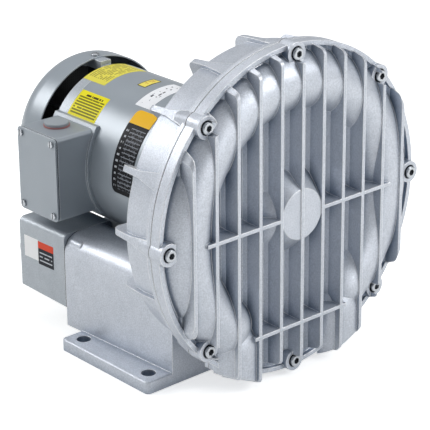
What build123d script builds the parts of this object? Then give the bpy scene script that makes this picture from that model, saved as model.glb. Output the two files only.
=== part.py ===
"""Side channel blower: a finned channel cover, a drum housing with silencer feet and a fan-cooled motor.

Frame: origin on the floor at the centre of the four foot holes, +Z up, shaft along Y.
The channel cover faces -Y, the motor lies towards +Y and its junction box is on the -X side.
Angles round the shaft are degrees seen from the cover side, 0 towards +X and 90 straight up.
All lengths are millimetres.
"""
from build123d import *
from math import cos, radians, sin, sqrt
import os

os.makedirs("parts", exist_ok=True)

# ---------------------------------------------------------------- driving dimensions
axis_height = 184.0  # floor to shaft centre
fit_gap = 0.04  # radial clearance of seated and running fits
seat_gap = 0.3  # air left beside loose inner pieces

# channel cover
parting_y = -120.5  # face of the housing that the cover gasket lies on
gasket_thickness = 0.8
floor_thickness = 7.2
fin_depth = 21.0
fin_pitch = 28.8
fin_count = 11
fin_tip_width = 3.8
fin_root_width = 6.2
fin_flare_width = 3.0  # root fillet on each side, drawn as a chamfer
fin_flare_height = 3.6
fin_corner_radius = 6.0
fin_end_inset = 5.5  # from the rim to the fin ends
low_fin_end_inset = 13.0  # the same for the short fins over the stripper
lip_width = 5.0
lip_height = 5.0
hub_face_radius = 27.0
hub_root_radius = 45.0
hub_face_drop = 1.2  # the middle fin stands proud of the hub by this
cross_bar_drop = 120.0
cross_bar_stub = 12.0  # how far a cross bar runs on past its last fin
low_bar_stub = 7.0
bead_shift = 2.5  # bead centre line outside that of the channel
bead_wall = 6.5  # bead half width beyond that of the channel
bead_rise = 19.5
stripper_half_angle = 38.0  # straight down, where the channel is interrupted
spout_x = 73.5  # where the bead ends turn straight down to the ports
spout_top_drop = 132.0  # from the shaft down to the middle of the spout's dome
lobe_step = 5.0  # how far the rim stands out below the spouts

# screws that hold the cover
cover_screw_count = 8
cover_screw_inset = 9.0  # from the rim to the screw circle
cover_screw_radius = 4.0
cover_screw_length = 30.0
cover_boss_radius = 11.8
cover_seat_height = 11.0  # cover under the screw seats
cover_boss_collar = 6.5  # collar that stands round each sunk head
cover_bore_gap = 1.2
cap_head_radius = 6.5
cap_head_height = 8.0
lock_washer_thickness = 2.0

# side channel and impeller
channel_inset = 23.2  # from the impeller's rim to the middle of the channel
channel_half_width = 24.0
front_channel_depth = 21.0
rear_channel_depth = 14.0
casting_wall = 6.0
impeller_radius = 157.2
impeller_width = 30.0
impeller_gap = 0.5  # air between impeller and casting faces
tip_gap = 0.8
vane_count = 40
vane_thickness = 2.4
vane_root_inset = 22.0  # from the middle of the channel to the vane roots
divider_thickness = 3.2
impeller_hub_radius = 30.0
impeller_web_thickness = 9.0

# drum of the housing
drum_rear_wall = 7.0  # over the impeller chamber
drum_front_wall = 13.0
rim_wall = 18.5
flange_thickness = 5.0
band_width = 8.0  # raised band of the drum behind the flange
panel_depth = 2.2
rib_count = 16
rib_front_drop = 3.0  # rib edge inside the rim
rib_rear_rise = 2.8  # rib edge outside the drum's rear
rib_front_width = 20.0
rib_rear_width = 5.5
rib_overhang = 20.0
rib_corner_radius = 9.0
rear_recess_width = 20.0
rear_recess_depth = 11.0

# feet and silencer ducts
hole_spacing_x = 257.0
hole_spacing_y = 109.0
foot_hole_radius = 7.8
foot_side_margin = 16.5
foot_thickness = 13.6
foot_front_margin = 18.0
foot_rear_margin = 18.5
foot_corner_radius = 5.0
foot_edge_radius = 2.0
duct_inner_x = 50.0
duct_front_outer_x = 111.0
duct_draft = 0.0395  # the outer wall leans out by this much per millimetre towards the rear
duct_top_drop = 66.0  # from the shaft down to the top of the ducts
duct_top_round = 22.0
duct_rear_y = 97.5
duct_wall = 6.0
duct_bottom_z = 12.0
saddle_drop = 100.0
saddle_thickness = 7.0
port_passage_radius = 20.5

# end cap with the two pipe ports
cap_length = 76.0
cap_bottom_z = 33.0
cap_bottom_rise = 4.0  # the underside climbs this much towards the rear
cap_top_round = 7.0
cap_boss_radius = 29.0
port_x = 84.0
cap_boss_height = 12.0
pipe_port_radius = 22.2  # minor radius of a 1 1/2 inch pipe thread
cap_column_radius = 6.5
cap_column_edge = 1.2  # wall between a screw column and the duct's surface
cap_column_round_inset = 3.0  # further in below the rounded top
cap_screw_radius = 3.0
cap_gasket_thickness = 1.0
foam_bore_radius = 19.0
foam_plenum = 14.0

# motor
shell_radius = 84.0
shell_wall = 4.0
shell_front_y = -52.0
shell_rear_y = 150.0
pilot_radius = 57.15
pilot_height = 4.0
face_bolt_circle = 74.6
face_bolt_radius = 4.76
face_bolt_length = 26.0
face_bolt_head_radius = 7.1
face_bolt_head_height = 8.0
endbell_plate = 10.5
endbell_rear_length = 14.0
spigot_length = 8.0
spigot_wall = 12.0
core_front_y = -20.0
core_length = 130.0
core_bore_radius = 55.0
air_gap = 0.5
winding_length = 20.0
winding_inner_radius = 57.0
winding_outer_radius = 71.0
through_bolt_inset = 7.5  # from the shell's surface to the bolt circle
through_bolt_radius = 2.5
through_bolt_phase = 20.0

# shaft and bearings
shaft_nose_radius = 11.11
shaft_seat_radius = 12.5
shaft_body_radius = 15.0
shaft_tail_seat_radius = 10.0
shaft_tail_radius = 8.0
key_width = 6.35
key_length = 22.0
drive_bearing_outer = 26.0
drive_bearing_width = 15.0
tail_bearing_outer = 23.5
tail_bearing_width = 14.0
race_thickness = 3.8
ball_count = 8
seal_outer_radius = 20.0
seal_width = 7.0
impeller_bolt_radius = 5.0
impeller_bolt_length = 24.0
impeller_bolt_head_radius = 8.5
impeller_bolt_head_height = 6.5
impeller_washer_radius = 17.0
impeller_washer_thickness = 4.0

# fan and fan cover
fan_cover_step = 7.2  # fan cover outside the shell
fan_cover_wall = 1.5
fan_cover_front_y = 178.0
fan_cover_rear_y = 229.5
fan_cover_round = 32.0
fan_inset = 15.2  # from the fan cover to the blade tips
fan_blade_count = 7
fan_blade_width = 24.0
fan_hub_radius = 16.0
fan_front_y = 174.0
fan_disc_thickness = 3.0
lug_count = 4
lug_width = 14.0
lug_screw_radius = 2.4
grille_slot_width = 4.2
grille_ring_radii = (16.0, 33.0, 54.0)

# junction box
box_reach = 43.0  # from the shell to the outer face of the cover
box_front_y = 94.5
box_length = 66.5
box_height = 94.0
box_drop = 1.5  # how far its middle lies below the shaft
box_wall = 3.5
box_corner_radius = 5.0
box_cover_thickness = 2.2
box_gasket_thickness = 1.3
box_saddle_margin = 3.0
box_saddle_thickness = 4.0
box_screw_radius = 2.0
box_screw_inset = 6.5
wire_hole_radius = 14.0
plug_radius = 11.5
plug_head_radius = 13.5
plug_seal_thickness = 1.6
plug_inset = 31.0  # from the cover plane to the plug's centre

# data plate
plate_front_y = 22.5
plate_length = 31.0
plate_start_angle = 123.0
plate_end_angle = 187.0
plate_thickness = 0.6

# ---------------------------------------------------------------- sizes that follow from them
chamber_radius = impeller_radius + tip_gap
channel_radius = impeller_radius - channel_inset
vane_root_radius = channel_radius - vane_root_inset
bead_radius = channel_radius + bead_shift
bead_half_width = channel_half_width + bead_wall
drum_rear_radius = chamber_radius + drum_rear_wall
drum_front_radius = chamber_radius + drum_front_wall
rim_radius = chamber_radius + rim_wall
cover_screw_circle = rim_radius - cover_screw_inset
fin_end_radius = rim_radius - fin_end_inset
lobe_radius = rim_radius + lobe_step
rib_front_radius = rim_radius - rib_front_drop
rib_rear_radius = drum_rear_radius + rib_rear_rise
rear_recess_outer = shell_radius + rear_recess_width
duct_top_z = axis_height - duct_top_drop
saddle_top_z = axis_height - saddle_drop
foot_outer_x = hole_spacing_x / 2 + foot_side_margin
spigot_inner_radius = shell_radius - shell_wall - spigot_wall
through_bolt_circle = shell_radius - through_bolt_inset
fan_cover_radius = shell_radius + fan_cover_step
fan_radius = fan_cover_radius - fan_inset

# ---------------------------------------------------------------- stations that follow from them
cover_face_y = parting_y - gasket_thickness
floor_y = cover_face_y - floor_thickness
fin_front_y = floor_y - fin_depth
seat_face_y = cover_face_y - cover_seat_height
impeller_front_y = cover_face_y + impeller_gap
impeller_rear_y = impeller_front_y + impeller_width
impeller_mid_y = (impeller_front_y + impeller_rear_y) / 2
land_y = impeller_rear_y + impeller_gap
drum_rear_y = land_y + rear_channel_depth + casting_wall
recess_floor_y = drum_rear_y - rear_recess_depth
pilot_floor_y = drum_rear_y - pilot_height - seat_gap
flange_rear_y = parting_y + flange_thickness
rib_rear_y = drum_rear_y + rib_overhang
foot_front_y = -hole_spacing_y / 2 - foot_front_margin
foot_rear_y = hole_spacing_y / 2 + foot_rear_margin
duct_front_y = foot_front_y
band_rear_y = flange_rear_y + band_width
cap_front_y = duct_rear_y + cap_gasket_thickness
cap_rear_y = cap_front_y + cap_length
port_z = (cap_bottom_z + duct_top_z) / 2
spigot_radius = shell_radius - shell_wall - fit_gap
core_radius = spigot_radius
core_rear_y = core_front_y + core_length
endbell_rear_y = shell_rear_y + endbell_rear_length
drive_bearing_y = shell_front_y - 14.0
tail_bearing_y = shell_rear_y - 10.0
shaft_nose_y = impeller_front_y + 4.0
shaft_tail_y = fan_front_y + fan_blade_width + 4.0
box_outer_x = shell_radius + box_reach
box_back_z = axis_height - box_drop
box_plate_x = box_outer_x - box_cover_thickness
box_face_x = box_plate_x - box_gasket_thickness
box_middle_y = box_front_y + box_length / 2

SHAFT = Axis((0, 0, axis_height), (0, 1, 0))
SIDE = Plane.XY.offset(axis_height)
BASE = (Align.CENTER, Align.CENTER, Align.MIN)
TOP = (Align.CENTER, Align.CENTER, Align.MAX)


# ---------------------------------------------------------------- helpers
def spin(edges, axis=SHAFT, arc=360):
    """A solid of revolution from closed edges drawn as (radius, y)."""
    return revolve(SIDE * make_face(edges), axis, arc)


def turned(*points):
    """A solid of revolution from a closed polygon of (radius, y) points."""
    return spin(Polyline(*points, close=True).edges())


def ring(inner, outer, y0, y1):
    return turned((inner, y0), (outer, y0), (outer, y1), (inner, y1))


def polar(radius, angle, y):
    """A plane facing the cover side, its x axis pointing away from the shaft."""
    c, s = cos(radians(angle)), sin(radians(angle))
    return Plane(origin=(radius * c, y, axis_height + radius * s), x_dir=(c, 0, s), z_dir=(0, -1, 0))


def rearward(radius, angle, y):
    """As polar, but facing the motor side."""
    c, s = cos(radians(angle)), sin(radians(angle))
    return Plane(origin=(radius * c, y, axis_height + radius * s), x_dir=(c, 0, s), z_dir=(0, 1, 0))


def angles(count, start=0.0):
    return [start + 360.0 * i / count for i in range(count)]


def cap_screw(radius, length, head_radius, head_height, socket_depth=0.55):
    """A socket head cap screw standing on its local z = 0, head upwards."""
    head = Cylinder(head_radius, head_height, align=BASE)
    head = chamfer(head.edges().group_by(Axis.Z)[-1], head_radius * 0.12)
    socket_floor = Plane.XY.offset(head_height * (1 - socket_depth))
    socket = extrude(socket_floor * RegularPolygon(head_radius * 0.55, 6), head_height)
    return head + Cylinder(radius, length, align=TOP) - socket


def pan_screw(radius, length, head_radius, head_height):
    """A slotted pan head screw standing on its local z = 0, head upwards."""
    head = Cylinder(head_radius, head_height, align=BASE)
    head = fillet(head.edges().group_by(Axis.Z)[-1], head_height * 0.45)
    slot = Pos(0, 0, head_height * 0.55) * Box(
        3 * head_radius, head_radius * 0.3, head_height, align=BASE
    )
    return head + Cylinder(radius, length, align=TOP) - slot


def channel(radius, half_width, y, rise):
    """A half-round channel about the shaft, closed by domes beside the stripper."""
    crest = ThreePointArc((radius - half_width, y), (radius, y + rise), (radius + half_width, y))
    chord = Line((radius + half_width, y), (radius - half_width, y))
    sweep_arc = 360 - 2 * stripper_half_angle
    body = spin([crest, chord], SHAFT, sweep_arc).rotate(SHAFT, 90 + stripper_half_angle)
    arc_radius = (half_width**2 + rise**2) / (2 * abs(rise))
    side = 1 if rise > 0 else -1
    centre_y = y + rise - side * arc_radius
    ball = Pos(radius, centre_y, axis_height) * Sphere(arc_radius)
    keep = Pos(radius, y + side * 2 * arc_radius, axis_height) * Box(*[4 * arc_radius] * 3)
    dome = ball & keep
    for turn in (90 + stripper_half_angle, 90 - stripper_half_angle):
        body += dome.rotate(SHAFT, turn)
    return body


def save(name, *shapes):
    solids = [solid for shape in shapes for solid in shape.solids()]
    export_step(Compound(solids) if len(solids) > 1 else solids[0], f"parts/{name}.step")


# ---------------------------------------------------------------- channel cover
def tapered_bar(length):
    """A draughted bar along local y with flared roots: root on local z = 0, tip at the fin fronts."""
    flare = fin_root_width / 2 + fin_flare_width
    half = [(flare, 0), (fin_root_width / 2, fin_flare_height), (fin_tip_width / 2, fin_depth)]
    section = Polyline(*half, *[(-x, z) for x, z in reversed(half)], close=True)
    return extrude(Plane.XZ * make_face(section.edges()), length / 2, both=True)


def fin_limit(radius):
    """A disc with a rounded front edge, to which fin ends are trimmed."""
    corner = fin_corner_radius
    edges = [
        Line((0, floor_y), (radius + 3, floor_y)),
        Line((radius + 3, floor_y), (radius, fin_front_y + corner)),
        TangentArc((radius, fin_front_y + corner), (radius - corner, fin_front_y), tangent=(-0.15, -1)),
        Line((radius - corner, fin_front_y), (0, fin_front_y)),
        Line((0, fin_front_y), (0, floor_y)),
    ]
    return spin(edges)


def below_shaft(x0, x1):
    """The room below the shaft between two distances from the middle, through the whole cover."""
    return block(
        x0, x1, fin_front_y - 1, cover_face_y, axis_height - lobe_radius - 1,
        axis_height - bead_radius / 2
    )


def lobe_room(side):
    return below_shaft(side * (spout_x - bead_half_width), side * (spout_x + bead_half_width))


def fin_envelope():
    """Full fins all round, longer over the two spouts and shorter between them."""
    middle = below_shaft(bead_half_width - spout_x, spout_x - bead_half_width)
    envelope = fin_limit(fin_end_radius) - middle
    envelope += fin_limit(rim_radius - low_fin_end_inset) & middle
    for side in (-1, 1):
        envelope += fin_limit(lobe_radius) & lobe_room(side)
    return envelope


def cover_fins():
    half = (fin_count - 1) // 2
    front = Plane(origin=(0, floor_y, axis_height), x_dir=(1, 0, 0), z_dir=(0, -1, 0))
    fin = tapered_bar(2 * lobe_radius)
    bars = [Pos(i * fin_pitch, 0, 0) * fin for i in range(-half, half + 1)]
    side_bar = Rot(0, 0, 90) * tapered_bar(3 * fin_pitch + cross_bar_stub)
    for side in (-1, 1):
        bars.append(Pos(side * (2.5 * fin_pitch + cross_bar_stub / 2), 0, 0) * side_bar)
    bars.append(
        Pos(0, -cross_bar_drop, 0) * Rot(0, 0, 90) * tapered_bar(4 * fin_pitch + 2 * low_bar_stub)
    )
    return (front * (Part() + bars)) & fin_envelope()


def spout(side):
    """The end of the bead: a half-round that drops from a dome straight to the rim."""
    arc_radius = (bead_half_width**2 + bead_rise**2) / (2 * bead_rise)
    middle_y = floor_y - bead_rise + arc_radius
    top = Pos(side * spout_x, middle_y, axis_height - spout_top_drop)
    form = top * (Sphere(arc_radius) + Cylinder(arc_radius, spout_top_drop, align=TOP))
    room = block(
        side * (spout_x - arc_radius), side * (spout_x + arc_radius), floor_y, fin_front_y, 0, axis_height
    )
    return form & room & fin_limit(lobe_radius - 1)


def rim_lobe(side, y0, y1):
    """The part of a flange that stands out below a spout."""
    return ring(0, lobe_radius, y0, y1) & block(
        side * (spout_x - bead_half_width), side * (spout_x + bead_half_width),
        y0, y1, axis_height - lobe_radius, axis_height - rim_radius / 2,
    )


def front_cover():
    cover = ring(0, rim_radius, cover_face_y, floor_y)
    cover += ring(rim_radius - lip_width, rim_radius, cover_face_y, floor_y - lip_height)
    cover += channel(bead_radius, bead_half_width, floor_y, -bead_rise)
    hub_face_y = fin_front_y + hub_face_drop
    cover += turned(
        (0, floor_y), (hub_root_radius, floor_y), (hub_face_radius, hub_face_y), (0, hub_face_y)
    )
    for side in (-1, 1):
        cover += rim_lobe(side, cover_face_y, floor_y)
        cover += spout(side)
    cover += cover_fins()
    for angle in angles(cover_screw_count):
        cover += polar(cover_screw_circle, angle, cover_face_y) * Cylinder(
            cover_boss_radius, cover_seat_height + cover_boss_collar, align=BASE
        )
    cover -= channel(channel_radius, channel_half_width, cover_face_y, -front_channel_depth)
    pocket_depth = impeller_washer_thickness + impeller_bolt_head_height + 3
    cover -= ring(0, impeller_washer_radius + 3, cover_face_y, cover_face_y - pocket_depth)
    for angle in angles(cover_screw_count):
        cover -= polar(cover_screw_circle, angle, cover_face_y) * Cylinder(
            cover_screw_radius + fit_gap, 4 * floor_thickness
        )
        cover -= polar(cover_screw_circle, angle, seat_face_y) * Cylinder(
            cap_head_radius + cover_bore_gap, 3 * fin_depth, align=BASE
        )
    return cover


def cover_gasket():
    gasket = ring(chamber_radius + 1.5, rim_radius - 0.5, cover_face_y, parting_y)
    for angle in angles(cover_screw_count):
        gasket += polar(cover_screw_circle, angle, parting_y) * Cylinder(
            cover_boss_radius, gasket_thickness, align=BASE
        )
    for angle in angles(cover_screw_count):
        gasket -= polar(cover_screw_circle, angle, parting_y) * Cylinder(cover_screw_radius + fit_gap, 10)
    return gasket - ring(0, chamber_radius + 1.5, cover_face_y - 1, parting_y + 1)


def cover_screws():
    seat_y = seat_face_y - lock_washer_thickness
    screw = cap_screw(cover_screw_radius, cover_screw_length, cap_head_radius, cap_head_height)
    return [polar(cover_screw_circle, angle, seat_y) * screw for angle in angles(cover_screw_count)]


def cover_washers():
    washer = Cylinder(cap_head_radius - 0.2, lock_washer_thickness, align=BASE)
    washer -= Cylinder(cover_screw_radius + fit_gap, 4 * lock_washer_thickness)
    return [polar(cover_screw_circle, angle, seat_face_y) * washer for angle in angles(cover_screw_count)]


# ---------------------------------------------------------------- drum housing with ducts and feet
def rib_angles():
    """Ribs go all round the drum except where the ducts and feet take their place."""
    return [a for a in angles(rib_count) if not 215 < a < 325]


def drum_rib(angle):
    """A wedge along the drum that turns the corner and runs in over the rear face."""
    wedge = Polyline(
        (flange_rear_y - 2, -rib_front_width / 2), (flange_rear_y - 2, rib_front_width / 2),
        (drum_rear_y - 12, rib_rear_width / 2 + 1), (rib_rear_y, rib_rear_width / 2),
        (rib_rear_y, -rib_rear_width / 2), (drum_rear_y - 12, -rib_rear_width / 2 - 1), close=True
    )
    inner = shell_radius + 6
    blank = extrude(Plane.YZ.offset(inner) * make_face(wedge.edges()), rib_front_radius - inner)
    outline = Polyline(
        (inner, recess_floor_y), (inner, rib_rear_y - 6), (rib_rear_radius, rib_rear_y),
        (rib_front_radius, flange_rear_y - 2), (drum_rear_radius - 3, flange_rear_y - 2),
        (drum_rear_radius - 3, recess_floor_y), close=True
    )
    face = make_face(outline.edges())
    tip = face.vertices().sort_by_distance((rib_rear_radius, rib_rear_y, 0))[0]
    outline = extrude(fillet(tip, rib_corner_radius), 2 * rib_front_width, both=True)
    return (Pos(0, 0, axis_height) * (blank & outline)).rotate(SHAFT, -angle)


def outer_wall_x(y):
    """Distance of the ducts' outer wall from the shaft plane, which grows towards the rear."""
    return duct_front_outer_x + duct_draft * (y - duct_front_y)


def duct_outline(side, inset, bottom, top, y, top_round=duct_top_round):
    """Cross-section of one duct seen from the cover side at the station y, with a rounded top."""
    outer_x = outer_wall_x(y) - inset
    low, high = bottom + inset, top - inset
    face = Pos(side * (duct_inner_x + inset + outer_x) / 2, (low + high) / 2) * Rectangle(
        outer_x - duct_inner_x - inset, high - low
    )
    upper = face.vertices().group_by(Axis.Y)[-1]
    return fillet(upper, top_round - inset)


def duct(side, inset, bottoms, top, y0, y1, top_round=duct_top_round):
    """One duct between two stations. Its outer wall leans out and its floor may climb towards the rear."""
    sections = [
        Plane(origin=(0, y, 0), x_dir=(1, 0, 0), z_dir=(0, -1, 0))
        * duct_outline(side, inset, bottom, top, y, top_round)
        for bottom, y in zip(bottoms, (y0, y1))
    ]
    return loft(sections, ruled=True)


def prism(face, y0, y1):
    """A face drawn as (x, z) extruded from y0 to y1."""
    return extrude(Plane(origin=(0, y1, 0), x_dir=(1, 0, 0), z_dir=(0, -1, 0)) * face, y1 - y0)


def block(x0, x1, y0, y1, z0, z1):
    return Pos((x0 + x1) / 2, (y0 + y1) / 2, (z0 + z1) / 2) * Box(
        abs(x1 - x0), abs(y1 - y0), abs(z1 - z0)
    )


def cap_screw_places(side):
    """The four corner columns of one duct, as (x, z)."""
    inset = cap_column_radius + cap_column_edge
    high_inset = inset + cap_column_round_inset
    outer_x = outer_wall_x(duct_rear_y)
    low_z = cap_bottom_z + cap_bottom_rise + inset
    return [
        (side * (outer_x - inset), low_z),
        (side * (duct_inner_x + inset), low_z),
        (side * (outer_x - high_inset), duct_top_z - high_inset),
        (side * (duct_inner_x + high_inset), duct_top_z - high_inset),
    ]


def along_y(x, z, y0, y1, radius):
    return Pos(x, y0, z) * Rot(-90, 0, 0) * Cylinder(radius, y1 - y0, align=BASE)


def drum():
    body = turned(
        (0, land_y), (chamber_radius, land_y), (chamber_radius, parting_y), (rim_radius, parting_y),
        (rim_radius, flange_rear_y), (drum_front_radius, flange_rear_y + 3),
        (drum_front_radius, band_rear_y),
        (drum_front_radius - panel_depth, band_rear_y + 1), (drum_rear_radius, drum_rear_y),
        (0, drum_rear_y)
    )
    for side in (-1, 1):
        body += rim_lobe(side, parting_y, flange_rear_y) - ring(
            0, chamber_radius, parting_y, flange_rear_y
        )
    body -= ring(shell_radius + 3, rear_recess_outer, recess_floor_y, drum_rear_y)
    return body


def silencer_base():
    base = Part()
    for side in (-1, 1):
        base += duct(side, 0, (duct_bottom_z, duct_bottom_z), duct_top_z, duct_front_y, duct_rear_y)
        foot = block(
            side * duct_inner_x, side * foot_outer_x, foot_front_y, foot_rear_y, 0, foot_thickness
        )
        foot = fillet(foot.edges().filter_by(Axis.Z), foot_corner_radius)
        base += fillet(foot.edges().group_by(Axis.Z)[-1], foot_edge_radius)
    base += block(
        -duct_inner_x - 1, duct_inner_x + 1, drum_rear_y - casting_wall, duct_rear_y,
        saddle_top_z - saddle_thickness, saddle_top_z,
    )
    return base


def rear_housing():
    housing = drum()
    for angle in rib_angles():
        housing += drum_rib(angle)
    for angle in angles(cover_screw_count):
        boss_length = cover_screw_length - cover_seat_height + 3
        housing += rearward(cover_screw_circle, angle, parting_y) * Cone(
            cover_boss_radius, cover_boss_radius * 0.6, boss_length, align=BASE
        )
    housing += silencer_base()
    housing -= channel(channel_radius, channel_half_width, land_y, rear_channel_depth)
    housing -= ring(0, chamber_radius, parting_y - 1, land_y)
    housing -= ring(0, pilot_radius + fit_gap, pilot_floor_y, drum_rear_y + 1)
    housing -= ring(0, seal_outer_radius + fit_gap, land_y - 1, land_y + seal_width + 1)
    housing -= ring(0, shaft_seat_radius + 2, land_y, drum_rear_y)
    for angle in angles(4, 45):
        housing -= rearward(face_bolt_circle, angle, land_y - 1) * Cylinder(
            face_bolt_head_radius + fit_gap, face_bolt_head_height + 1.8, align=BASE
        )
        housing -= rearward(face_bolt_circle, angle, land_y) * Cylinder(
            face_bolt_radius + fit_gap, 30, align=BASE
        )
    for angle in angles(cover_screw_count):
        housing -= polar(cover_screw_circle, angle, parting_y) * Cylinder(
            cover_screw_radius + fit_gap, 2 * (cover_screw_length - cover_seat_height)
        )
    for side in (-1, 1):
        low = (duct_bottom_z, duct_bottom_z)
        housing -= duct(side, duct_wall, low, duct_top_z, drum_rear_y, duct_rear_y - duct_wall)
        mouth = (cap_bottom_z, cap_bottom_z)
        housing -= duct(side, duct_wall, mouth, duct_top_z, duct_rear_y - 2 * duct_wall, duct_rear_y + 1)
        passage = rearward(channel_radius, 270 + side * stripper_half_angle, land_y)
        housing -= passage * Cylinder(port_passage_radius, drum_rear_y - land_y + 1, align=BASE)
        for x, z in cap_screw_places(side):
            housing += along_y(x, z, duct_rear_y - 22, duct_rear_y, cap_column_radius)
            housing -= along_y(x, z, duct_rear_y - 18, duct_rear_y + 1, cap_screw_radius + fit_gap)
        for y in (-hole_spacing_y / 2, hole_spacing_y / 2):
            housing -= Pos(side * hole_spacing_x / 2, y, 0) * Cylinder(
                foot_hole_radius, 4 * foot_thickness
            )
    return housing


# ---------------------------------------------------------------- end cap, gasket and silencer foam
def cap_web(y0, y1):
    return block(
        -duct_inner_x - 1, duct_inner_x + 1, y0, y1, saddle_top_z - saddle_thickness - 8, saddle_top_z
    )


def end_cap():
    cap = cap_web(cap_front_y, cap_rear_y)
    for side in (-1, 1):
        floors = (cap_bottom_z, cap_bottom_z + cap_bottom_rise)
        boss_rear_y = cap_rear_y + cap_boss_height
        cap += duct(side, 0, floors, duct_top_z, cap_front_y, cap_rear_y, cap_top_round)
        cap += along_y(side * port_x, port_z, cap_rear_y - 1, boss_rear_y, cap_boss_radius)
        cap -= duct(
            side, duct_wall, floors, duct_top_z, cap_front_y - 1, cap_rear_y - duct_wall, cap_top_round
        )
        cap -= along_y(side * port_x, port_z, cap_rear_y - 20, boss_rear_y + 1, pipe_port_radius)
        for x, z in cap_screw_places(side):
            cap += along_y(x, z, cap_front_y, cap_rear_y, cap_column_radius)
            cap -= along_y(x, z, cap_front_y - 1, cap_rear_y + 1, cap_screw_radius + fit_gap)
    return cap


def end_cap_gasket():
    gasket = Part()
    for side in (-1, 1):
        outer = duct_outline(side, seat_gap, cap_bottom_z, duct_top_z, duct_rear_y)
        inner = duct_outline(side, duct_wall, cap_bottom_z, duct_top_z, duct_rear_y)
        gasket += prism(outer - inner, duct_rear_y, cap_front_y)
        for x, z in cap_screw_places(side):
            gasket += along_y(x, z, duct_rear_y, cap_front_y, cap_column_radius)
            gasket -= along_y(x, z, duct_rear_y - 1, cap_front_y + 1, cap_screw_radius + fit_gap)
    return gasket


def end_cap_screws():
    length = cap_length + cap_gasket_thickness + 15
    screw = cap_screw(cap_screw_radius, length, 5.0, 6.0)
    return [
        Pos(x, cap_rear_y, z) * Rot(-90, 0, 0) * screw for side in (-1, 1) for x, z in cap_screw_places(
            side
        )
    ]


def muffler_foam(side):
    """Sound absorbing block with a straight air bore, corners cut off beside the screw columns."""
    inset = duct_wall + seat_gap
    low, high = cap_bottom_z + cap_bottom_rise + inset, duct_top_z - inset
    sections = []
    for y in (drum_rear_y + foam_plenum, cap_rear_y - duct_wall - seat_gap):
        width = outer_wall_x(y) - duct_inner_x - 2 * inset
        face = Pos(side * (duct_inner_x + inset + width / 2), (low + high) / 2) * Rectangle(
            width, high - low
        )
        face = chamfer(face.vertices(), cap_column_radius * 3.6)
        sections.append(Plane(origin=(0, y, 0), x_dir=(1, 0, 0), z_dir=(0, -1, 0)) * face)
    foam = loft(sections, ruled=True)
    return foam - along_y(side * port_x, port_z, drum_rear_y, cap_rear_y, foam_bore_radius)


# ---------------------------------------------------------------- impeller
def impeller():
    half_web = impeller_web_thickness / 2
    half_divider = divider_thickness / 2
    cup = (impeller_width - divider_thickness) / 2
    mid = impeller_mid_y
    front, rear = impeller_front_y, impeller_rear_y
    bore = shaft_nose_radius + fit_gap
    rim_inner = vane_root_radius - 8
    cup_end = vane_root_radius + cup
    corner = cup * (1 - sqrt(0.5))
    points = [
        (vane_root_radius, rear), (rim_inner, rear), (rim_inner, mid + half_web),
        (impeller_hub_radius, mid + half_web),
        (impeller_hub_radius, rear), (bore, rear), (bore, front), (impeller_hub_radius, front),
        (impeller_hub_radius, mid - half_web), (rim_inner, mid - half_web), (rim_inner, front),
        (vane_root_radius, front),
    ]
    edges = list(Polyline(*points).edges())
    edges.append(ThreePointArc(
        (vane_root_radius, front), (vane_root_radius + corner, mid - half_divider - corner),
        (cup_end, mid - half_divider)
    ))
    edges += Polyline(
        (cup_end, mid - half_divider), (impeller_radius, mid - half_divider),
        (impeller_radius, mid + half_divider),
        (cup_end, mid + half_divider)
    ).edges()
    edges.append(ThreePointArc(
        (cup_end, mid + half_divider), (vane_root_radius + corner, mid + half_divider + corner),
        (vane_root_radius, rear)
    ))
    wheel = spin(edges)
    reach = impeller_radius - vane_root_radius + 6
    vane = Box(reach, vane_thickness, impeller_width, align=(Align.MAX, Align.CENTER, Align.MIN))
    vanes = Part() + [rearward(impeller_radius + 4, angle, front) * vane for angle in angles(vane_count)]
    wheel += vanes & ring(vane_root_radius - 4, impeller_radius, front, rear)
    return wheel - keyway(fit_gap)


def keyway(grow):
    """The room of the key in shaft and hub, grown by a clearance."""
    y0 = (impeller_front_y + impeller_rear_y - key_length) / 2
    half = key_width / 2 + grow
    return block(
        -half, half, y0 - grow, y0 + key_length + grow,
        axis_height + shaft_nose_radius - half, axis_height + shaft_nose_radius + half,
    )


# ---------------------------------------------------------------- shaft and rotor
def rotor_shaft():
    shaft = turned(
        (0, shaft_nose_y), (shaft_nose_radius, shaft_nose_y), (shaft_nose_radius, impeller_rear_y),
        (shaft_seat_radius, impeller_rear_y), (shaft_seat_radius, drive_bearing_y + drive_bearing_width),
        (shaft_body_radius, drive_bearing_y + drive_bearing_width), (shaft_body_radius, tail_bearing_y),
        (shaft_tail_seat_radius, tail_bearing_y),
        (shaft_tail_seat_radius, tail_bearing_y + tail_bearing_width),
        (shaft_tail_radius, tail_bearing_y + tail_bearing_width), (shaft_tail_radius, shaft_tail_y),
        (0, shaft_tail_y)
    )
    shaft -= keyway(fit_gap)
    return shaft - ring(
        0, impeller_bolt_radius + fit_gap, shaft_nose_y, shaft_nose_y + impeller_bolt_length
    )


def rotor_core():
    core = ring(shaft_body_radius + fit_gap, core_bore_radius - air_gap, core_front_y, core_rear_y)
    core += ring(shaft_body_radius + 20, core_bore_radius - 3, core_front_y - 9, core_rear_y + 9)
    for angle in angles(8):
        paddle = Box(14, 3, 8, align=BASE)
        core += polar(core_bore_radius - 12, angle, core_front_y - 8) * paddle
        core += rearward(core_bore_radius - 12, angle, core_rear_y + 8) * paddle
    return core


def impeller_bolt():
    head_y = impeller_front_y - impeller_washer_thickness
    head = extrude(
        polar(0, 0, head_y) * RegularPolygon(impeller_bolt_head_radius, 6), impeller_bolt_head_height
    )
    return head + ring(0, impeller_bolt_radius, head_y, shaft_nose_y + impeller_bolt_length - 2)


def impeller_washer():
    return ring(
        impeller_bolt_radius + fit_gap, impeller_washer_radius,
        impeller_front_y - impeller_washer_thickness, impeller_front_y
    )


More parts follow.
